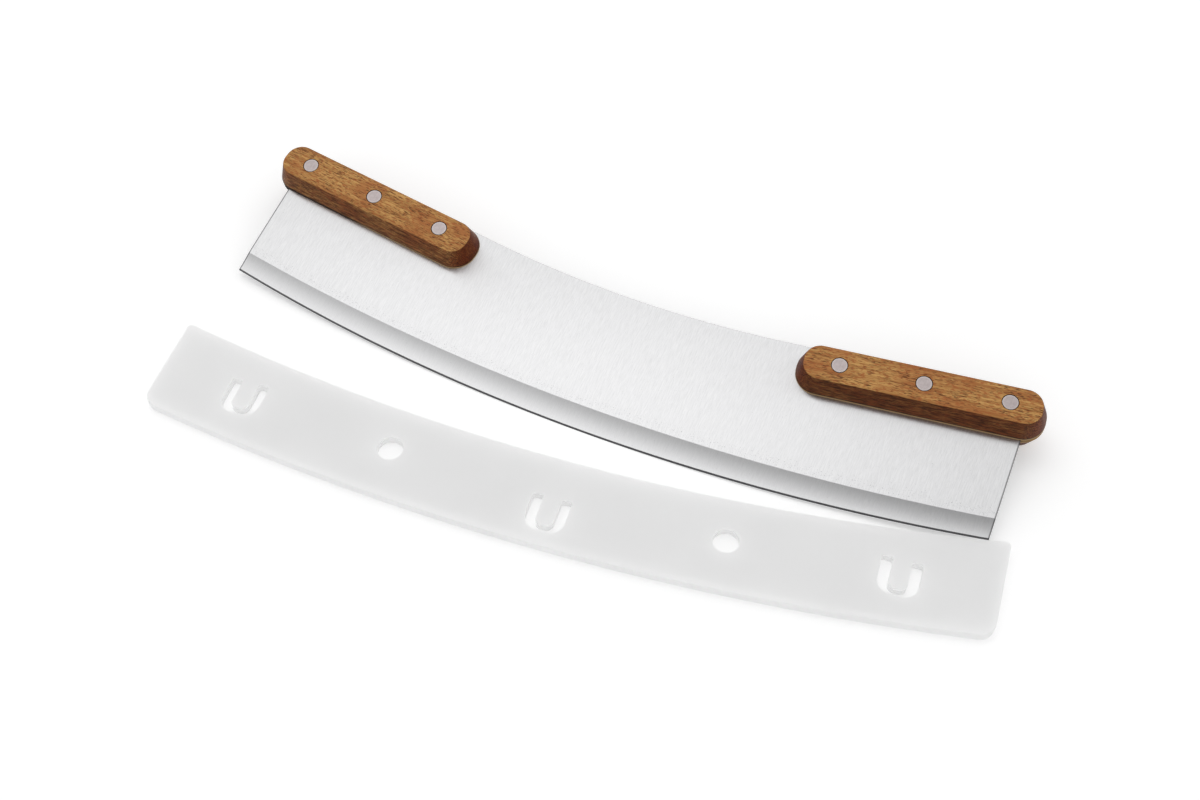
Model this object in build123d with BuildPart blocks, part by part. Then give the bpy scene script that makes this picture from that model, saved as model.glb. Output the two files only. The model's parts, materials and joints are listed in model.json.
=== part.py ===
from build123d import *
from math import asin, atan2, cos, hypot, radians, sin, sqrt, tan
import os

# A rocking pizza knife and its blade cover, lying on a table. Lengths are in millimetres.
# X runs along the knife, Y points away from its cutting edge and Z is up.
# The knife leans on the outer faces of its back scales and on the middle of its edge.
# The cover is off the blade and lies in front of the edge, its mouth towards the knife.

# Blade: a band of sheet steel with a curved edge, ground on both faces
blade_length = 355.0
blade_depth = 68.0
blade_thickness = 2.0
edge_radius = 937.0
edge_thickness = 0.16
bevel_width = 11.4
bevel_radius = 1041.0
honed_width = 0.8
honed_thickness = 0.44
spine_radius = 547.0
handle_slope = 7.5
end_lean = 1.2
tang_corner_radius = 5.0

# Handle scales: two tapered wooden slabs to each handle, held by three rivets
scale_length = 107.6
scale_width = 22.4
scale_height = 10.1
scale_draft = 3.1
scale_end_radius = 10.2
scale_top_easing = 0.6
scale_foot_easing = 0.35
handle_overhang = 7.8

# Rivets: a socket half from the front and a pin half from the back
rivet_end_distance = 17.7
rivet_row_shift = 0.8
rivet_row_rise = 0.4
rivet_head_diameter = 6.8
rivet_head_thickness = 2.2
rivet_head_easing = 0.2
rivet_head_room = 0.15
socket_diameter = 4.4
socket_reach = 4.5
socket_room = 0.1
pin_diameter = 3.2
pin_room = 0.02
pin_end_room = 0.5
pin_end_chamfer = 0.3

# Blade cover: a flat moulded sheath, two walls on a rim, open along its curved mouth
cover_wall = 0.9
cover_blade_room = 0.2
cover_end_room = 6.2
cover_depth = 42.9
cover_floor = 2.0
cover_mouth_radius = 945.0
cover_bottom_radius = 1081.0
cover_mouth_corner = 2.0
cover_bottom_corner = 7.0
cover_edge_easing = 0.45
mouth_lead = 0.3

# Grip tongues: three U slots, and two round holes between them, through both walls
tongue_width = 7.8
tongue_end_radius = 3.2
slot_width = 4.6
slot_end_width = 2.6
slot_height = 16.8
slot_corner_radius = 6.0
slot_top_radius = 1.2
middle_slot_rise = 7.1
side_slot_rise = 12.8
side_slot_share = 0.78
hole_diameter = 11.2
hole_rise = 23.3
hole_place_share = 0.398
slot_edge_easing = 0.25

# Where the cover lies: turned to the knife, its mouth just short of the blade's right corner
cover_turn = 6.05
corner_from_cover_end = 9.2
corner_gap = 0.3

cut_overrun = 1.0


# Places worked out in the blade's middle plane, from the lowest point of the edge


def arc_rise(radius, x):
    """How far an arc has risen at x from its lowest point, which lies at zero"""
    return radius - sqrt(radius**2 - x**2)


half_length = blade_length / 2
half_thickness = blade_thickness / 2
edge_sag = arc_rise(edge_radius, half_length)
slope = radians(handle_slope)
lean = tan(radians(end_lean))

# The spine is an arc that runs on, under the handles, as straight lines along them
tangent_x = spine_radius * sin(slope)
tangent_y = blade_depth + spine_radius * (1 - cos(slope))


def blade_end_x(y):
    """How far out the blade's end stands at a height above the edge's lowest point"""
    return half_length - (y - edge_sag) * lean


# The scales' middle line lies half a scale's width below the straight part of the spine
middle_line_x = tangent_x + scale_width / 2 * sin(slope)
middle_line_y = tangent_y - scale_width / 2 * cos(slope)
to_blade_end = (blade_end_x(middle_line_y) - middle_line_x) / (cos(slope) + sin(slope) * lean)
to_scale_centre = to_blade_end + handle_overhang - scale_length / 2
handle_x = middle_line_x + to_scale_centre * cos(slope)
handle_y = middle_line_y + to_scale_centre * sin(slope)

# The lean at which the back scales and the edge touch the table together
draft_angle = atan2(scale_draft, scale_height)
easing_inset = scale_top_easing * tan(radians(45) - draft_angle / 2)
outer_face_radius = scale_end_radius - scale_draft
inner_corner_x = scale_length / 2 - scale_end_radius
inner_corner_y = scale_width / 2 - scale_end_radius
outer_face_low = handle_y - inner_corner_x * sin(slope) - inner_corner_y * cos(slope) - outer_face_radius
lean_run = outer_face_low + easing_inset
lean_rise = half_thickness + scale_height - scale_top_easing - edge_thickness / 2
knife_lean = atan2(lean_rise, lean_run) + asin(scale_top_easing / hypot(lean_rise, lean_run))

knife_plane = Plane(
    origin=(0, 0, edge_thickness / 2 * cos(knife_lean)),
    x_dir=(1, 0, 0),
    z_dir=(0, -sin(knife_lean), cos(knife_lean)),
)


def handle_plane(side, face):
    """Seat of a scale on the blade: side is 1 at the right, face is 1 in front, -1 behind"""
    centre = Vector(side * handle_x, handle_y, face * half_thickness)
    outwards = knife_plane.x_dir * (side * cos(slope)) + knife_plane.y_dir * sin(slope)
    return Plane(
        origin=knife_plane.from_local_coords(centre),
        x_dir=outwards,
        z_dir=knife_plane.z_dir * face,
    )


rivet_pitch = scale_length / 2 - rivet_end_distance


def rivet_place(side, face, step):
    """Place of a rivet in the plane of a scale's seat: step is 1 at the handle's outer end"""
    return (rivet_row_shift + step * rivet_pitch, side * face * rivet_row_rise)


def rivet_places(side, face):
    """Places of a handle's three rivets in the plane of a scale's seat"""
    return [rivet_place(side, face, step) for step in (-1, 0, 1)]


pieces = {}

# Blade


def blade_section(height, arc_low, arc_radius):
    """The blade's outline at a height above its middle plane, down to an arc"""
    low_y = -cut_overrun
    high_y = tangent_y + (blade_end_x(tangent_y) - tangent_x) * tan(slope)
    high_x = blade_end_x(high_y)
    low_x = blade_end_x(low_y)
    with BuildSketch(knife_plane.offset(height)) as section:
        with BuildLine():
            Polyline((-tangent_x, tangent_y), (-high_x, high_y), (-low_x, low_y))
            Line((-low_x, low_y), (low_x, low_y))
            Polyline((low_x, low_y), (high_x, high_y), (tangent_x, tangent_y))
            ThreePointArc((tangent_x, tangent_y), (0, blade_depth), (-tangent_x, tangent_y))
        make_face()
        fillet(section.vertices().group_by(Axis.Y)[-1], radius=tang_corner_radius)
        with Locations((0, arc_low + arc_radius)):
            Circle(arc_radius, mode=Mode.INTERSECT)
    return section.sketch


blade_sections = [
    blade_section(-half_thickness, bevel_width, bevel_radius),
    blade_section(-honed_thickness / 2, honed_width, edge_radius),
    blade_section(-edge_thickness / 2, 0, edge_radius),
    blade_section(edge_thickness / 2, 0, edge_radius),
    blade_section(honed_thickness / 2, honed_width, edge_radius),
    blade_section(half_thickness, bevel_width, bevel_radius),
]
with BuildPart() as blade:
    loft(blade_sections, ruled=True)
    for side in (-1, 1):
        with BuildSketch(handle_plane(side, 1)):
            with Locations(rivet_places(side, 1)):
                Circle(socket_diameter / 2 + socket_room)
        extrude(amount=-blade_thickness, mode=Mode.SUBTRACT)
pieces["blade"] = blade

# Handle scales

for side_name, side in (("left", -1), ("right", 1)):
    for face_name, face in (("front", 1), ("back", -1)):
        seat = handle_plane(side, face)
        outer = seat.offset(scale_height)
        outwards = Axis(seat.origin, seat.z_dir)
        with BuildPart() as scale:
            with BuildSketch(seat):
                RectangleRounded(scale_length, scale_width, scale_end_radius)
            with BuildSketch(outer):
                outer_length = scale_length - 2 * scale_draft
                outer_width = scale_width - 2 * scale_draft
                RectangleRounded(outer_length, outer_width, outer_face_radius)
            loft(ruled=True)
            fillet(scale.faces().sort_by(outwards)[-1].edges(), radius=scale_top_easing)
            fillet(scale.faces().sort_by(outwards)[0].edges(), radius=scale_foot_easing)
            with Locations(outer):
                with Locations(rivet_places(side, face)):
                    CounterBoreHole(
                        radius=socket_diameter / 2 + socket_room,
                        counter_bore_radius=rivet_head_diameter / 2 + rivet_head_room,
                        counter_bore_depth=rivet_head_thickness,
                    )
        pieces[f"{side_name}_{face_name}_scale"] = scale

# Rivets

wood_under_head = scale_height - rivet_head_thickness
socket_length = wood_under_head + blade_thickness + socket_reach
pin_length = wood_under_head * 2 + blade_thickness - pin_end_room


def rivet_head_plane(side, face, step):
    """Plane of a rivet head's outer face, its middle at the origin"""
    seat = handle_plane(side, face)
    x, y = rivet_place(side, face, step)
    middle = seat.from_local_coords(Vector(x, y, scale_height))
    return Plane(origin=middle, x_dir=seat.x_dir, z_dir=seat.z_dir)


for side_name, side in (("left", -1), ("right", 1)):
    for place_name, step in (("outer", 1), ("middle", 0), ("inner", -1)):
        top = rivet_head_plane(side, 1, step)
        with BuildPart() as socket:
            with BuildSketch(top):
                Circle(rivet_head_diameter / 2)
            extrude(amount=-rivet_head_thickness)
            fillet(socket.faces().sort_by(Axis(top.origin, top.z_dir))[-1].edges(), rivet_head_easing)
            with BuildSketch(top.offset(-rivet_head_thickness)):
                Circle(socket_diameter / 2)
                Circle(pin_diameter / 2 + pin_room, mode=Mode.SUBTRACT)
            extrude(amount=-socket_length)
        pieces[f"{side_name}_{place_name}_rivet_socket"] = socket

        bottom = rivet_head_plane(side, -1, step)
        along = Axis(bottom.origin, bottom.z_dir)
        with BuildPart() as pin:
            with BuildSketch(bottom):
                Circle(rivet_head_diameter / 2)
            extrude(amount=-rivet_head_thickness)
            fillet(pin.faces().sort_by(along)[-1].edges(), rivet_head_easing)
            with BuildSketch(bottom.offset(-rivet_head_thickness)):
                Circle(pin_diameter / 2)
            extrude(amount=-pin_length)
            chamfer(pin.faces().sort_by(along)[0].edges(), pin_end_chamfer)
        pieces[f"{side_name}_{place_name}_rivet_pin"] = pin

# Blade cover

slot_thickness = blade_thickness + 2 * cover_blade_room
cover_thickness = slot_thickness + 2 * cover_wall
cover_half_length = half_length + cover_end_room + cover_wall
turn = radians(cover_turn)
blade_corner = knife_plane.from_local_coords(Vector(half_length, edge_sag, 0))
corner_x = cover_half_length - corner_from_cover_end
corner_y = arc_rise(cover_mouth_radius, corner_x) + corner_gap
# Its origin is the lowest point of the mouth, half way through the cover's thickness
cover_plane = Plane(
    origin=(
        blade_corner.X - corner_x * cos(turn) + corner_y * sin(turn),
        blade_corner.Y - corner_x * sin(turn) - corner_y * cos(turn),
        cover_thickness / 2,
    ),
    x_dir=(cos(turn), sin(turn), 0),
    z_dir=(0, 0, 1),
)
towards_mouth = Axis(cover_plane.origin, cover_plane.y_dir)


def arc_band(plane, half_width, top_low, bottom_low, bottom_radius, corner_radius):
    """Outline with upright ends, an arc like the mouth above and a flatter arc below"""
    top_y = top_low + arc_rise(cover_mouth_radius, half_width)
    bottom_y = bottom_low + arc_rise(bottom_radius, half_width)
    with BuildSketch(plane) as band:
        with BuildLine():
            Line((-half_width, top_y), (-half_width, bottom_y))
            ThreePointArc((-half_width, bottom_y), (0, bottom_low), (half_width, bottom_y))
            Line((half_width, bottom_y), (half_width, top_y))
            ThreePointArc((half_width, top_y), (0, top_low), (-half_width, top_y))
        make_face()
        fillet(band.vertices().group_by(Axis.Y)[0], radius=corner_radius)
    return band.sketch


def cover_outline(plane):
    """The cover's outline, with its mouth's corners still sharp"""
    return arc_band(
        plane, cover_half_length, 0, -cover_depth, cover_bottom_radius, cover_bottom_corner
    )


def blade_slot_outline(plane):
    """Outline of the slot for the blade, which runs out past the mouth"""
    return arc_band(
        plane,
        cover_half_length - cover_wall,
        cut_overrun,
        cover_floor - cover_depth,
        cover_bottom_radius - cover_floor,
        cover_bottom_corner - cover_wall,
    )


def mouth_corners(piece):
    """The two edges through the cover's thickness at the ends of its mouth"""
    return piece.edges().filter_by(Axis.Z).group_by(towards_mouth)[-1]


def above_bottom(x, rise):
    """A place in the cover's plane at a height above its lower border"""
    return (x, arc_rise(cover_bottom_radius, x) - cover_depth + rise)


side_slot_x = cover_half_length * side_slot_share
slot_places = [
    above_bottom(-side_slot_x, side_slot_rise),
    above_bottom(0, middle_slot_rise),
    above_bottom(side_slot_x, side_slot_rise),
]
hole_x = cover_half_length * hole_place_share
hole_places = [above_bottom(-hole_x, hole_rise), above_bottom(hole_x, hole_rise)]

# A slot round a tongue: the tongue hangs between two legs and a narrower end
with BuildSketch() as tongue_slot:
    from_below = (Align.CENTER, Align.MIN)
    Rectangle(tongue_width + 2 * slot_width, slot_height, align=from_below)
    with Locations((0, slot_end_width)):
        Rectangle(tongue_width, slot_height, align=from_below, mode=Mode.SUBTRACT)
    fillet(tongue_slot.vertices().group_by(Axis.Y)[1], radius=tongue_end_radius)
    fillet(tongue_slot.vertices().group_by(Axis.Y)[0], radius=slot_corner_radius)
    fillet(tongue_slot.vertices().group_by(Axis.Y)[-1], radius=slot_top_radius)

with BuildPart() as rim:
    extrude(cover_outline(cover_plane), amount=slot_thickness / 2, both=True)
    fillet(mouth_corners(rim), radius=cover_mouth_corner)
    extrude(
        blade_slot_outline(cover_plane), amount=slot_thickness, both=True, mode=Mode.SUBTRACT
    )
pieces["cover_rim"] = rim

for face_name, face in (("front", 1), ("back", -1)):
    inner_face = cover_plane.offset(face * slot_thickness / 2)
    outwards = Axis(inner_face.origin, inner_face.z_dir * face)
    with BuildPart() as wall:
        extrude(cover_outline(inner_face), amount=face * cover_wall)
        # The two longest edges of the inner face are the arcs along the mouth and the bottom
        long_arcs = wall.faces().sort_by(outwards)[0].edges().sort_by(SortBy.LENGTH)[-2:]
        chamfer(long_arcs.sort_by(towards_mouth)[-1], length=mouth_lead)
        fillet(mouth_corners(wall), radius=cover_mouth_corner)
        fillet(wall.faces().sort_by(outwards)[-1].edges(), radius=cover_edge_easing)
        with BuildSketch(inner_face):
            with Locations(slot_places):
                add(tongue_slot.sketch)
            with Locations(hole_places):
                Circle(hole_diameter / 2)
        extrude(amount=face * cover_wall, mode=Mode.SUBTRACT)
        borders = [wire.edges() for wire in wall.faces().sort_by(outwards)[-1].inner_wires()]
        fillet(borders, radius=slot_edge_easing)
    pieces[f"cover_{face_name}_wall"] = wall

# The origin goes to the table, under the middle of the knife and its cover together
whole = Compound([piece.part for piece in pieces.values()]).bounding_box()
to_origin = Location((-whole.center().X, -whole.center().Y, -whole.min.Z))

os.makedirs("parts", exist_ok=True)
for name, piece in pieces.items():
    piece.part = piece.part.moved(to_origin)
    piece.part.label = name
    export_step(piece.part, f"parts/{name}.step")

print("origin moved by", to_origin.position)
print("knife leans by", knife_lean, "blade corner at", to_origin * Location(blade_corner))
for place in hole_places:
    print("cover hole at", to_origin * Location(cover_plane.from_local_coords(Vector(*place))))
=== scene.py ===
import json
from math import cos, pi, radians, sin, sqrt, tan

import bpy
from mathutils import Matrix, Vector


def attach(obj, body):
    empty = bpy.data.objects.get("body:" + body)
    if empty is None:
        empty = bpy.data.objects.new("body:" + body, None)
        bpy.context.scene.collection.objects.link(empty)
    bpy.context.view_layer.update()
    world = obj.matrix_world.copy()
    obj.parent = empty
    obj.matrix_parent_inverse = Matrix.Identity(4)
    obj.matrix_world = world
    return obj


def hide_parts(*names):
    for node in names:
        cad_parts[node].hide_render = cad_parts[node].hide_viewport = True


# A rocking pizza knife with its blade cover beside it. Lengths are in metres.
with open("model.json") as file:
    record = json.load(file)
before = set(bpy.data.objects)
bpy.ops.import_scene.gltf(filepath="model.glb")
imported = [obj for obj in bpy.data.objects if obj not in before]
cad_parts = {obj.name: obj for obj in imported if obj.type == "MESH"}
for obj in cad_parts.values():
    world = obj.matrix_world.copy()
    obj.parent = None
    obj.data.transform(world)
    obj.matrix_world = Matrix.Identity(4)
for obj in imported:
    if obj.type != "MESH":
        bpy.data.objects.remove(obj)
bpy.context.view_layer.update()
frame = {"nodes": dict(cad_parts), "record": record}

# Blade: one band of stainless sheet, blanked with two tangs that run up between the handle
# scales. Its faces are brushed across its length, and both sides of the curved edge are hollow
# ground on a wheel and then honed.

edge_radius = 0.937
edge_thickness = 0.00016
honed_width = 0.0008
honed_thickness = 0.00044
grind_width = 0.0114
grind_radius = 1.041
hollow_depth = 0.00013
spine_radius = 0.547
handle_slope = radians(7.5)
end_lean = tan(radians(1.2))
tang_corner_radius = 0.005
blade_depth = 0.068
end_rounds = 3
sheet_easing = 0.0003
sharp_turn = radians(86)
flat_turn = radians(2)


def axes_along(x_axis, z_axis):
    """Axes that turn a piece's own directions to the scene's"""
    return Matrix((x_axis, z_axis.cross(x_axis), z_axis)).transposed().to_4x4()


def box_along(node, axes):
    """Lowest and highest corner of a CAD node, measured along other axes"""
    turned = axes.inverted()
    places = [turned @ vertex.co for vertex in frame["nodes"][node].data.vertices]
    return Vector(map(min, zip(*places))), Vector(map(max, zip(*places)))


blade_face = next(m for m in frame["record"]["mounts"] if m["name"] == "blade_face")
knife_axes = axes_along(Vector((1, 0, 0)), Vector(blade_face["axis"]))
blade_low, blade_high = box_along("blade", knife_axes)
blade_thickness = blade_high.z - blade_low.z
half_length = (blade_high.x - blade_low.x) / 2
edge_middle = Vector(
    ((blade_low.x + blade_high.x) / 2, blade_low.y, (blade_low.z + blade_high.z) / 2)
)
knife_frame = knife_axes @ Matrix.Translation(edge_middle)


def arc_rise(radius, x):
    """How far an arc has risen at x from its lowest point"""
    return radius - sqrt(radius**2 - x**2)


edge_sag = arc_rise(edge_radius, half_length)
tangent_x = spine_radius * sin(handle_slope)
tangent_y = blade_depth + spine_radius * (1 - cos(handle_slope))


def blade_end_x(y):
    """How far out the blade's leaning end stands at a height above the edge"""
    return half_length - (y - edge_sag) * end_lean


def on_arc(low, radius, share):
    """A point of an arc that runs from one leaning end of the blade to the other"""
    end_x = half_length
    for _ in range(end_rounds):
        end_x = blade_end_x(low + arc_rise(radius, end_x))
    return Vector((share * end_x, low + arc_rise(radius, share * end_x)))


# Where the straight part of the spine would meet the blade's end, and the round tang corner
corner_x = blade_end_x(tangent_y + (half_length - tangent_x) * tan(handle_slope))
corner_turn = radians(90) + handle_slope - end_lean
corner_length = tang_corner_radius * tan(corner_turn / 2)
corner_start = Vector((corner_x, tangent_y + (corner_x - tangent_x) * tan(handle_slope)))
corner_start -= corner_length * Vector((cos(handle_slope), sin(handle_slope)))
corner_middle = corner_start + tang_corner_radius * Vector((sin(handle_slope), -cos(handle_slope)))

blade_columns = 120
corner_columns = 6


def on_spine(column):
    """A point of the spine: its arc, the straight part along a tang, or the tang's corner"""
    side = 1 if column > blade_columns / 2 else -1
    step = abs(column - blade_columns / 2)
    past_corner = step - (blade_columns / 2 - corner_columns)
    if past_corner > 0:
        turned = handle_slope - corner_turn * past_corner / corner_columns
        place = corner_middle + tang_corner_radius * Vector((-sin(turned), cos(turned)))
        return Vector((side * place.x, place.y))
    x = corner_start.x * step / (blade_columns / 2 - corner_columns)
    if x < tangent_x:
        return Vector((side * x, blade_depth + arc_rise(spine_radius, x)))
    return Vector((side * x, tangent_y + (x - tangent_x) * tan(handle_slope)))


hollow_rows = 8
face_rows = 10
grind_row = 1 + hollow_rows
spine_row = grind_row + face_rows


def blade_place(column, row, face):
    """A point of the blade's surface: row 0 is the edge, row 1 the honed line, and so on"""
    share = 2 * column / blade_columns - 1
    edge = on_arc(0, edge_radius, share)
    honed = on_arc(honed_width, edge_radius, share)
    ground = on_arc(grind_width, grind_radius, share)
    if row == 0:
        place, thickness = edge, edge_thickness
    elif row <= grind_row:
        part = (row - 1) / hollow_rows
        place = honed.lerp(ground, part)
        thickness = honed_thickness + (blade_thickness - honed_thickness) * part
        thickness -= 2 * hollow_depth * 4 * part * (1 - part)
    else:
        place = ground.lerp(on_spine(column), (row - grind_row) / face_rows)
        thickness = blade_thickness
    return Vector((place.x, place.y, face * thickness / 2))


def start_piece():
    """Clears the selection, so that an operator works on the new piece alone"""
    bpy.ops.object.select_all(action="DESELECT")


def closed_slab(name, columns, rows, place):
    """A grid drawn out to two faces and their rim, each vertex then set by place"""
    start_piece()
    bpy.ops.mesh.primitive_grid_add(x_subdivisions=columns, y_subdivisions=rows, size=2)
    slab = bpy.context.object
    slab.name = name
    bpy.ops.object.mode_set(mode="EDIT")
    bpy.ops.mesh.select_all(action="SELECT")
    bpy.ops.mesh.extrude_region_move(TRANSFORM_OT_translate={"value": (0, 0, 1)})
    bpy.ops.object.mode_set(mode="OBJECT")
    for vertex in slab.data.vertices:
        column = round((vertex.co.x + 1) / 2 * columns)
        row = round((vertex.co.y + 1) / 2 * rows)
        vertex.co = place(column, row, 1 if vertex.co.z > 0.5 else -1)
    bpy.ops.object.mode_set(mode="EDIT")
    bpy.ops.mesh.select_all(action="SELECT")
    bpy.ops.mesh.normals_make_consistent(inside=False)
    bpy.ops.object.mode_set(mode="OBJECT")
    return slab


def ease_sharp_edges(piece, sharpness, easing, segments=2):
    """Rounds the edges at which a piece's faces turn by more than an angle"""
    bpy.ops.object.mode_set(mode="EDIT")
    bpy.ops.mesh.select_all(action="DESELECT")
    bpy.ops.mesh.select_mode(type="EDGE")
    bpy.ops.mesh.edges_select_sharp(sharpness=sharpness)
    bpy.ops.mesh.bevel(offset=easing, segments=segments, profile=0.5, clamp_overlap=True)
    bpy.ops.mesh.select_mode(type="FACE")
    bpy.ops.object.mode_set(mode="OBJECT")


blade = closed_slab("blade_ground", blade_columns, spine_row, blade_place)
ease_sharp_edges(blade, sharp_turn, sheet_easing)
blade.data.transform(knife_frame)
bpy.ops.object.shade_smooth_by_angle(angle=flat_turn)


def new_material(name):
    """A material without nodes, and its node tree"""
    material = bpy.data.materials.new(name)
    material.use_nodes = True
    material.node_tree.nodes.clear()
    return material, material.node_tree


def add(tree, kind, inputs=None, **settings):
    """A node with its settings, and its inputs, which are values or other nodes' outputs"""
    made = tree.nodes.new(kind)
    for name, value in settings.items():
        setattr(made, name, value)
    for name, value in (inputs or {}).items():
        if isinstance(value, bpy.types.NodeSocket):
            tree.links.new(value, made.inputs[name])
        else:
            made.inputs[name].default_value = value
    return made


def own_place(tree, piece_frame, stretch=(1, 1, 1)):
    """A point's place in a piece's own frame, times a stretch along each direction"""
    here = add(tree, "ShaderNodeTexCoord").outputs["Object"]
    inverse = piece_frame.inverted()
    turned = add(
        tree,
        "ShaderNodeMapping",
        {"Vector": here, "Location": inverse.translation, "Rotation": inverse.to_euler()},
    ).outputs[0]
    product = {0: turned, 1: stretch}
    return add(tree, "ShaderNodeVectorMath", product, operation="MULTIPLY").outputs[0]


def noise(tree, vector, scale, detail=2.0, roughness=0.5):
    """A soft noise from 0 to 1"""
    inputs = {"Vector": vector, "Scale": scale, "Detail": detail, "Roughness": roughness}
    return add(tree, "ShaderNodeTexNoise", inputs).outputs[0]


def ramp(tree, value, low, high, to_low=0.0, to_high=1.0, smooth=True):
    """A value carried from one range to another, and held at the range's ends"""
    inputs = {"Value": value, 1: low, 2: high, 3: to_low, 4: to_high}
    kind = "SMOOTHSTEP" if smooth else "LINEAR"
    return add(tree, "ShaderNodeMapRange", inputs, interpolation_type=kind).outputs[0]


def mix(tree, factor, first, second, blend="MIX"):
    """Two colours mixed"""
    inputs = {0: factor, 6: first, 7: second}
    return add(tree, "ShaderNodeMix", inputs, data_type="RGBA", blend_type=blend).outputs[2]


line_stretch = (1, 0.09, 0.09)
band_stretch = (1, 0.10, 0.10)
cloud_stretch = (1, 0.5, 0.5)
cloud_scale = 110
speck_scale = 2600
speck_middle = 0.0025
speck_reach = 0.005
pit_grey = (0.16, 0.16, 0.165, 1)
# Width and grey of the painted shade line along the blade's two ends.
end_shade_width = 0.0007
end_shade_grey = (0.10, 0.10, 0.105, 1)
brushing = 0.95


def maths(tree, operation, *values):
    """A sum, product or other operation on values or other nodes' outputs"""
    return add(tree, "ShaderNodeMath", dict(enumerate(values)), operation=operation).outputs[0]


def steel(name, bright, dark, roughness, line_spacing, line_depth):
    """Bare steel: fine lines across the blade, specks above the grind line, and a painted shade line
    along its ends
    """
    material, tree = new_material(name)
    lines = noise(tree, own_place(tree, knife_frame, line_stretch), 1 / line_spacing, 4, 0.8)
    bands = noise(tree, own_place(tree, knife_frame, band_stretch), 0.3 / line_spacing, 3)
    clouds = noise(tree, own_place(tree, knife_frame, cloud_stretch), cloud_scale, 4)
    tone = ramp(tree, mix(tree, 0.06, lines, bands), 0.34, 0.66, smooth=False)
    colour = mix(tree, tone, dark, bright)
    colour = mix(tree, ramp(tree, clouds, 0.35, 0.75, 0, 0.04), colour, dark)
    specks = noise(tree, own_place(tree, knife_frame), speck_scale, 1)
    place = add(tree, "ShaderNodeSeparateXYZ", {0: own_place(tree, knife_frame)}).outputs
    bow = maths(tree, "POWER", place["X"], 2.0)
    grind_line = maths(tree, "MULTIPLY_ADD", bow, 0.5 / grind_radius, grind_width)
    rise = maths(tree, "SUBTRACT", place["Y"], grind_line)
    away = maths(tree, "ABSOLUTE", maths(tree, "SUBTRACT", rise, speck_middle))
    limit = ramp(tree, away, 0.0, speck_reach, 0.66, 0.76)
    pit = maths(tree, "SUBTRACT", specks, limit)
    colour = mix(tree, ramp(tree, pit, 0, 0.03, 0, 0.65), colour, pit_grey)
    # Painted shade: a dark line along the blade's two leaning ends.
    reach = maths(tree, "MULTIPLY_ADD", place["Y"], end_lean, maths(tree, "ABSOLUTE", place["X"]))
    end_reach = half_length + edge_sag * end_lean
    shaded_rim = ramp(tree, reach, end_reach - end_shade_width, end_reach - end_shade_width / 2, 0, 0.8)
    colour = mix(tree, shaded_rim, colour, end_shade_grey)
    bump = add(tree, "ShaderNodeBump", {"Height": lines, "Strength": 0.5, "Distance": line_depth})
    rough = ramp(tree, lines, 0.3, 0.7, roughness - 0.02, roughness + 0.02)
    along = add(tree, "ShaderNodeCombineXYZ", {"X": 1.0})
    shader = add(
        tree,
        "ShaderNodeBsdfPrincipled",
        {
            "Base Color": colour,
            "Metallic": 1.0,
            "Roughness": rough,
            "Anisotropic": brushing,
            "Tangent": along.outputs[0],
            "Normal": bump.outputs[0],
        },
    )
    add(tree, "ShaderNodeOutputMaterial", {"Surface": shader.outputs[0]})
    return material


rim_lean = 0.95
brushed, ground, honed, shaded_rim = range(4)
finishes = (
    steel("steel_brushed", (0.68, 0.68, 0.685, 1), (0.55, 0.55, 0.555, 1), 0.32, 0.00050, 0.00002),
    steel("steel_ground", (0.64, 0.64, 0.645, 1), (0.57, 0.57, 0.575, 1), 0.30, 0.00040, 0.00002),
    # The honed and rim finishes are painted shade: their dark greys stand in for the shade seen on
    # the honed facet and on the sheet's rim.
    steel("steel_honed_painted_shade", (0.20, 0.20, 0.205, 1), (0.12, 0.12, 0.125, 1), 0.30, 0.00022, 0.00001),
    steel("steel_rim_painted_shade", (0.15, 0.15, 0.155, 1), (0.09, 0.09, 0.095, 1), 0.45, 0.00022, 0.00001),
)
for finish in finishes:
    blade.data.materials.append(finish)
to_knife = knife_frame.inverted()
# Faces below the honed line and the sheet's rim faces take finishes painted dark as shade.
for face in blade.data.polygons:
    face.material_index = brushed
    middle = to_knife @ face.center
    lean = to_knife.to_3x3() @ face.normal
    share = middle.x / half_length
    if middle.y < on_arc(honed_width, edge_radius, share).y:
        face.material_index = honed
    elif abs(lean.z) < rim_lean:
        face.material_index = shaded_rim
    elif middle.y < on_arc(grind_width, grind_radius, share).y:
        face.material_index = ground
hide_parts("blade")
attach(blade, "knife")

# Handle scales: four slabs of oiled hardwood, sawn along the grain, their sides tapered and
# their ends rounded on a sander. A pair is clamped on each tang by three rivets, whose heads
# lie in counterbored holes.

end_radius = 0.0102
scale_taper = 0.0031
outer_easing = 0.00045
foot_easing = 0.00025
head_room = 0.00030
rivet_hole_radius = 0.0023
rivet_head_depth = 0.0022
hole_sides = 64
cut_overrun = 0.001
smooth_turn = radians(32)
pale_wood = (0.60, 0.335, 0.112, 1)
brown_wood = (0.33, 0.145, 0.042, 1)
red_wood = (0.36, 0.112, 0.034, 1)
pore_brown = (0.090, 0.032, 0.012, 1)
# Side tints: partly the oil and grain of the sides, partly painted shade; the right handle's sides
# are darker still, as painted shade for the light falling less on them.
side_stains_and_shade = {"left": (0.62, 0.54, 0.54, 1), "right": (0.38, 0.28, 0.26, 1)}
end_stain = (0.38, 0.19, 0.13, 1)
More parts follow.
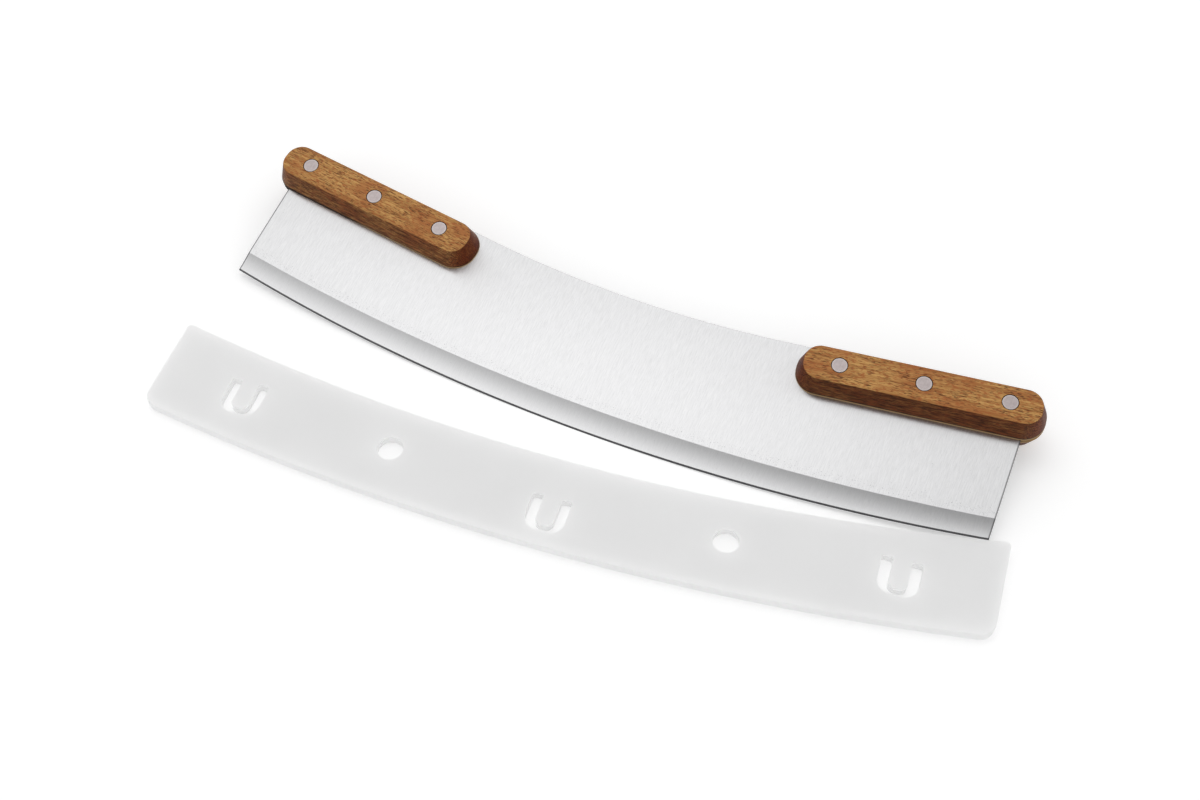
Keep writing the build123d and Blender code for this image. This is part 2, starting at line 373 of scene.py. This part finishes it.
# Painted light at each scale's foot: a painted shadow line for the shade in the gap where the wood
# meets the blade, and below it a tan strip painted as the wood's reflection in the blade, shown only
# along the inner part of the left handle.
foot_reflection_tan = (0.40, 0.26, 0.13, 1)
reflection_strip_height = 0.00055
foot_shadow_height = 0.0010
foot_shadow_black = (0.030, 0.014, 0.008, 1)
foot_blur = 0.0001
reflection_strip_spans = {"left": (-0.005, 0.010), "right": (0.060, 0.070)}
next_plank = Vector((0.31, 0.17, 0.05))
red_cloud_scale = 110
band_scale = 700
fleck_scale = 1300
fibre_scale = 3000
pore_scale = 3300
pore_patch_scale = 130
fibre_depth = 0.00010


def select_only(piece):
    """Makes one piece the selected and active one"""
    bpy.ops.object.select_all(action="DESELECT")
    piece.select_set(True)
    bpy.context.view_layer.objects.active = piece


def apply_boolean(piece, other, operation):
    """Joins another piece to this one or cuts it out, and deletes the other"""
    select_only(piece)
    boolean = piece.modifiers.new("boolean", "BOOLEAN")
    boolean.operation = operation
    boolean.object = other
    boolean.solver = "EXACT"
    bpy.ops.object.modifier_apply(modifier=boolean.name)
    bpy.data.objects.remove(other)


def drill(piece, place, radius, low_z, high_z):
    """Cuts an upright round hole"""
    start_piece()
    middle = (place.x, place.y, (low_z + high_z) / 2)
    bpy.ops.mesh.primitive_cylinder_add(
        vertices=hole_sides, radius=radius, depth=high_z - low_z, location=middle
    )
    bpy.ops.object.transform_apply(location=True)
    apply_boolean(piece, bpy.context.object, "DIFFERENCE")


def tapered_slab(name, length, width, height):
    """A round-ended slab whose sides lean in towards its outer face, its foot at z zero"""
    start_piece()
    bpy.ops.mesh.primitive_plane_add(size=1)
    slab = bpy.context.object
    slab.name = name
    bpy.ops.object.mode_set(mode="EDIT")
    bpy.ops.mesh.select_all(action="SELECT")
    bpy.ops.transform.resize(value=(length, width, 1))
    bpy.ops.mesh.bevel(affect="VERTICES", offset=end_radius, segments=16, profile=0.5)
    bpy.ops.mesh.select_all(action="SELECT")
    bpy.ops.mesh.inset(thickness=scale_taper, depth=height, use_even_offset=True)
    bpy.ops.mesh.bevel(affect="EDGES", offset=outer_easing, segments=5, profile=0.5)
    bpy.ops.mesh.select_mode(type="EDGE")
    bpy.ops.mesh.select_all(action="DESELECT")
    bpy.ops.mesh.select_non_manifold()
    bpy.ops.mesh.edge_face_add()
    bpy.ops.mesh.bevel(affect="EDGES", offset=foot_easing, segments=3, profile=0.5)
    bpy.ops.mesh.select_mode(type="FACE")
    bpy.ops.mesh.select_all(action="SELECT")
    bpy.ops.mesh.normals_make_consistent(inside=False)
    bpy.ops.object.mode_set(mode="OBJECT")
    return slab


def facing(tree, own_frame, axis):
    """How squarely a surface faces along one of a piece's own axes, from -1 to 1"""
    normal = add(tree, "ShaderNodeTexCoord").outputs["Normal"]
    inputs = {0: normal, 1: own_frame.to_3x3() @ Vector(axis)}
    return add(tree, "ShaderNodeVectorMath", inputs, operation="DOT_PRODUCT").outputs["Value"]


def wood(name, own_frame, side_stain_and_shade, fade, seed):
    """Oiled hardwood whose sides are darkened, partly by stain and partly as painted shade, with a
    painted shadow line and a painted reflection strip at its foot
    """
    material, tree = new_material(name)
    elsewhere = own_frame @ Matrix.Translation(next_plank * seed)
    clouds = noise(tree, own_place(tree, elsewhere, (0.5, 1, 1)), red_cloud_scale, 3, 0.55)
    bands = noise(tree, own_place(tree, elsewhere, (0.05, 1, 0.8)), band_scale, 4, 0.65)
    flecks = noise(tree, own_place(tree, elsewhere, (0.30, 1, 1)), fleck_scale, 3, 0.6)
    fibres = noise(tree, own_place(tree, elsewhere, (0.06, 1, 1)), fibre_scale, 3, 0.6)
    pores = noise(tree, own_place(tree, elsewhere, (0.11, 1, 1)), pore_scale, 1, 0.5)
    patches = noise(tree, own_place(tree, elsewhere, (0.5, 1, 1)), pore_patch_scale, 2, 0.5)
    colour = mix(tree, ramp(tree, bands, 0.36, 0.70), pale_wood, brown_wood)
    colour = mix(tree, ramp(tree, clouds, 0.42, 0.66, 0, 0.70), colour, red_wood)
    colour = mix(tree, ramp(tree, flecks, 0.48, 0.62, 0, 0.85), colour, red_wood)
    colour = mix(tree, ramp(tree, fibres, 0.45, 0.70, 0, 0.50), colour, brown_wood)
    pore_limit = ramp(tree, patches, 0.35, 0.65, 0.64, 0.56)
    pore = ramp(tree, maths(tree, "SUBTRACT", pores, pore_limit), 0.0, 0.05, 0, 0.85)
    colour = mix(tree, pore, colour, pore_brown)
    # Painted shade: faces that turn away from the outer face take the side tint, which is partly the
    # sides' stain and partly shade.
    side = ramp(tree, facing(tree, own_frame, (0, 0, 1)), 0.92, 0.45)
    end = maths(tree, "ABSOLUTE", facing(tree, own_frame, (1, 0, 0)))
    stain_and_shade = mix(tree, ramp(tree, end, 0.2, 0.9), side_stain_and_shade, end_stain)
    streaks = mix(tree, ramp(tree, fibres, 0.44, 0.60, 0, 0.9), colour, pore_brown)
    colour = mix(tree, side, colour, mix(tree, 1.0, streaks, stain_and_shade, "MULTIPLY"))
    place = add(tree, "ShaderNodeSeparateXYZ", {0: own_place(tree, own_frame)}).outputs
    # Painted shadow along the foot of the side, and under it the painted reflection strip where it
    # is shown.
    foot_shadow = ramp(tree, place["Z"], foot_shadow_height, foot_shadow_height + foot_blur, 1, 0)
    colour = mix(tree, foot_shadow, colour, foot_shadow_black)
    reflection_strip = ramp(tree, place["Z"], reflection_strip_height, reflection_strip_height + foot_blur, 1, 0)
    reflection_shown = ramp(tree, place["X"], fade[0], fade[1], 1, 0)
    colour = mix(tree, maths(tree, "MULTIPLY", reflection_strip, reflection_shown), colour, foot_reflection_tan)
    grain = mix(tree, pore, fibres, (0, 0, 0, 1))
    bump = add(tree, "ShaderNodeBump", {"Height": grain, "Strength": 0.5, "Distance": fibre_depth})
    shader = add(
        tree,
        "ShaderNodeBsdfPrincipled",
        {
            "Base Color": colour,
            "Roughness": ramp(tree, fibres, 0.3, 0.7, 0.44, 0.58),
            "Specular IOR Level": 0.12,
            "Normal": bump.outputs[0],
        },
    )
    add(tree, "ShaderNodeOutputMaterial", {"Surface": shader.outputs[0]})
    return material


wood_seed = 0
for side_name, side in (("left", -1), ("right", 1)):
    for face_name, face in (("front", 1), ("back", -1)):
        node_name = f"{side_name}_{face_name}_scale"
        rivet_half = {"front": "socket", "back": "pin"}[face_name]
        along = knife_axes @ Vector((side * cos(handle_slope), sin(handle_slope), 0))
        axes = axes_along(along, knife_axes @ Vector((0, 0, face)))
        low, high = box_along(node_name, axes)
        middle = (low + high) / 2
        seat = axes @ Matrix.Translation(Vector((middle.x, middle.y, low.z)))
        height = high.z - low.z
        wood_scale = tapered_slab(f"{node_name}_wood", high.x - low.x, high.y - low.y, height)
        for place_name in ("outer", "middle", "inner"):
            rivet_low, rivet_high = box_along(f"{side_name}_{place_name}_rivet_{rivet_half}", seat)
            place = (rivet_low + rivet_high) / 2
            head_radius = (rivet_high.x - rivet_low.x) / 2
            head_low = height - rivet_head_depth
            drill(wood_scale, place, head_radius + head_room, head_low, height + cut_overrun)
            drill(wood_scale, place, rivet_hole_radius, -cut_overrun, height)
        wood_scale.data.transform(seat)
        select_only(wood_scale)
        bpy.ops.object.shade_smooth_by_angle(angle=smooth_turn)
        wood_seed += 1
        stain_and_shade, fade = side_stains_and_shade[side_name], reflection_strip_spans[side_name]
        finish = wood(f"wood_{side_name}_{face_name}", seat, stain_and_shade, fade, wood_seed)
        wood_scale.data.materials.append(finish)
        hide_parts(node_name)
        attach(wood_scale, "knife")

# Rivets: cutler's rivets of aluminium, a tube and a pin with flat heads, pressed together
# through the handle and sanded flush with the wood, which leaves fine lines across them.

rim_start = 0.0024
rim_end = 0.0034
scratch_stretch = (1, 0.05, 1)
scratch_scale = 5000
dull_patch_scale = 900
scratch_depth = 0.00002
dull_aluminium = (0.40, 0.345, 0.34, 1)
clean_aluminium = (0.48, 0.42, 0.415, 1)
scored_aluminium = (0.60, 0.55, 0.54, 1)


def aluminium(name, head_frame):
    """Sanded aluminium with fine lines, and a head that is brighter towards its rim"""
    material, tree = new_material(name)
    lines = noise(tree, own_place(tree, head_frame, scratch_stretch), scratch_scale, 2, 0.6)
    clouds = noise(tree, own_place(tree, head_frame), dull_patch_scale, 3, 0.6)
    flat_place = own_place(tree, head_frame, (1, 1, 0))
    radius = add(tree, "ShaderNodeVectorMath", {0: flat_place}, operation="LENGTH").outputs["Value"]
    tone = mix(tree, ramp(tree, clouds, 0.3, 0.7), dull_aluminium, clean_aluminium)
    tone = mix(tree, ramp(tree, radius, rim_start, rim_end, 0, 0.6), tone, scored_aluminium)
    tone = mix(tree, ramp(tree, lines, 0.3, 0.7, 0, 0.3), tone, scored_aluminium)
    bump = add(tree, "ShaderNodeBump", {"Height": lines, "Strength": 0.4, "Distance": scratch_depth})
    shader = add(
        tree,
        "ShaderNodeBsdfPrincipled",
        {"Base Color": tone, "Metallic": 1.0, "Roughness": 0.45, "Normal": bump.outputs[0]},
    )
    add(tree, "ShaderNodeOutputMaterial", {"Surface": shader.outputs[0]})
    return material


for name, node in frame["nodes"].items():
    if "rivet" in name:
        low, high = box_along(name, knife_axes)
        head_frame = knife_axes @ Matrix.Translation((low + high) / 2)
        node.material_slots[0].material = aluminium(f"aluminium_{name}", head_frame)

# Blade cover: a sheath moulded in one piece of milky, translucent plastic, with a slot for the
# blade, three grip tongues and two hanging holes.

milkiness = 0.72
cloudy_white = (0.991, 0.991, 0.991, 1)
clear_white = (0.997, 0.997, 0.997, 1)
haze_scale = 25
mould_grain_scale = 2500
mould_grain_depth = 0.00002
weld_distance = 0.000001
flat_limit = radians(0.2)


def merged_copy(node, name):
    """A new piece with a CAD node's shape, its loose triangles joined to whole faces"""
    piece = bpy.data.objects.new(name, frame["nodes"][node].data.copy())
    bpy.context.scene.collection.objects.link(piece)
    select_only(piece)
    bpy.ops.mesh.customdata_custom_splitnormals_clear()
    bpy.ops.object.mode_set(mode="EDIT")
    bpy.ops.mesh.select_all(action="SELECT")
    bpy.ops.mesh.remove_doubles(threshold=weld_distance)
    bpy.ops.mesh.dissolve_limited(angle_limit=flat_limit)
    bpy.ops.object.mode_set(mode="OBJECT")
    return piece


cover = merged_copy("cover_rim", "blade_cover")
for wall_node in ("cover_front_wall", "cover_back_wall"):
    apply_boolean(cover, merged_copy(wall_node, "wall_to_join"), "UNION")
bpy.ops.object.shade_smooth_by_angle(angle=smooth_turn)
milky, tree = new_material("plastic_milky")
clouds = noise(tree, own_place(tree, Matrix.Identity(4)), haze_scale, 2)
grain = noise(tree, own_place(tree, Matrix.Identity(4)), mould_grain_scale, 2)
tone = mix(tree, ramp(tree, clouds, 0.3, 0.7), cloudy_white, clear_white)
relief = {"Height": grain, "Strength": 0.3, "Distance": mould_grain_depth}
bump = add(tree, "ShaderNodeBump", relief)
skin = add(
    tree,
    "ShaderNodeBsdfPrincipled",
    {"Base Color": tone, "Roughness": 0.42, "Specular IOR Level": 0.35, "Normal": bump.outputs[0]},
)
inside = add(tree, "ShaderNodeBsdfTranslucent", {"Color": tone, "Normal": bump.outputs[0]})
milk = add(tree, "ShaderNodeMixShader", {0: milkiness, 1: skin.outputs[0], 2: inside.outputs[0]})
add(tree, "ShaderNodeOutputMaterial", {"Surface": milk.outputs[0]})
cover.data.materials.clear()
cover.data.materials.append(milky)
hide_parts("cover_rim", "cover_front_wall", "cover_back_wall")
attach(cover, "cover")

# Table, light and camera: a white table, with a faint glow of its own that only the camera and
# reflections see, in a white room with one soft lamp at the back left. The ceiling is bright at
# the back, dim in a band over the knife and lighter again at the front.

table_size = 6.0
table_colour = (0.86, 0.86, 0.86, 1)
table_glow = 0.28
wall_white = 1.0
back_wall_light = 1.05
front_wall_light = 0.95
back_ceiling_light = 1.0
dim_ceiling_light = 0.25
front_ceiling_light = 0.50
ceiling_turn = radians(-25)
ceiling_border = (0.55, 0.80)
back_border = (-0.04, 0.16)
front_border = (-0.50, -0.22)
lamp_light = 1.1
lamp_size = (0.75, 0.31)
lamp_place = Vector((-0.27, 0.200, 1.0))
lamp_turn = radians(15)
camera_place = (0.15670, -0.35828, 0.54871)
camera_turn = (radians(36.120), radians(-0.512), radians(23.746))
camera_lens = 46.69
camera_sensor = 36.0


def seen_ray(tree):
    """1 for rays from the camera, straight or by gloss or glass, and 0 for other light"""
    path = add(tree, "ShaderNodeLightPath").outputs
    either = maths(tree, "MAXIMUM", path["Is Camera Ray"], path["Is Glossy Ray"])
    return maths(tree, "MAXIMUM", either, path["Is Transmission Ray"])


start_piece()
bpy.ops.mesh.primitive_plane_add(size=table_size)
table = bpy.context.object
table.name = "table"
white, tree = new_material("table_white")
diffuse = add(tree, "ShaderNodeBsdfDiffuse", {"Color": table_colour})
glow = ramp(tree, seen_ray(tree), 0, 1, 0, table_glow, smooth=False)
emission = add(tree, "ShaderNodeEmission", {"Strength": glow})
both = add(tree, "ShaderNodeAddShader", {0: diffuse.outputs[0], 1: emission.outputs[0]})
add(tree, "ShaderNodeOutputMaterial", {"Surface": both.outputs[0]})
table.data.materials.append(white)

world = bpy.data.worlds.new("studio")
bpy.context.scene.world = world
world.use_nodes = True
tree = world.node_tree
tree.nodes.clear()
direction = add(tree, "ShaderNodeTexCoord").outputs["Generated"]
towards = add(tree, "ShaderNodeSeparateXYZ", {0: direction}).outputs
turned = add(tree, "ShaderNodeMapping", {"Vector": direction, "Rotation": (0, 0, ceiling_turn)})
turned_y = add(tree, "ShaderNodeSeparateXYZ", {0: turned.outputs[0]}).outputs["Y"]
back_ceiling = ramp(tree, turned_y, *back_border, dim_ceiling_light, back_ceiling_light)
front_ceiling = ramp(tree, turned_y, *front_border, front_ceiling_light, 0)
ceiling = maths(tree, "ADD", back_ceiling, front_ceiling)
side_light = ramp(tree, towards["Y"], -0.5, 0.5, front_wall_light, back_wall_light)
walls = add(tree, "ShaderNodeMix", {0: seen_ray(tree), 2: side_light, 3: wall_white})
mixed = {0: ramp(tree, towards["Z"], *ceiling_border), 2: walls.outputs[0], 3: ceiling}
strength = add(tree, "ShaderNodeMix", mixed).outputs[0]
white_light = {"Color": (1, 1, 1, 1), "Strength": strength}
background = add(tree, "ShaderNodeBackground", white_light)
add(tree, "ShaderNodeOutputWorld", {"Surface": background.outputs[0]})

bpy.ops.object.light_add(type="AREA", location=lamp_place, rotation=(0, 0, lamp_turn))
lamp = bpy.context.object
lamp.name = "soft_lamp"
lamp.data.shape = "RECTANGLE"
lamp.data.size, lamp.data.size_y = lamp_size
lamp.data.energy = lamp_light * pi * lamp_size[0] * lamp_size[1]

bpy.ops.object.camera_add(location=camera_place, rotation=camera_turn)
camera = bpy.context.object
camera.name = "camera"
camera.data.lens = camera_lens
camera.data.sensor_width = camera_sensor
bpy.context.scene.camera = camera
bpy.context.scene.view_settings.view_transform = "Standard"
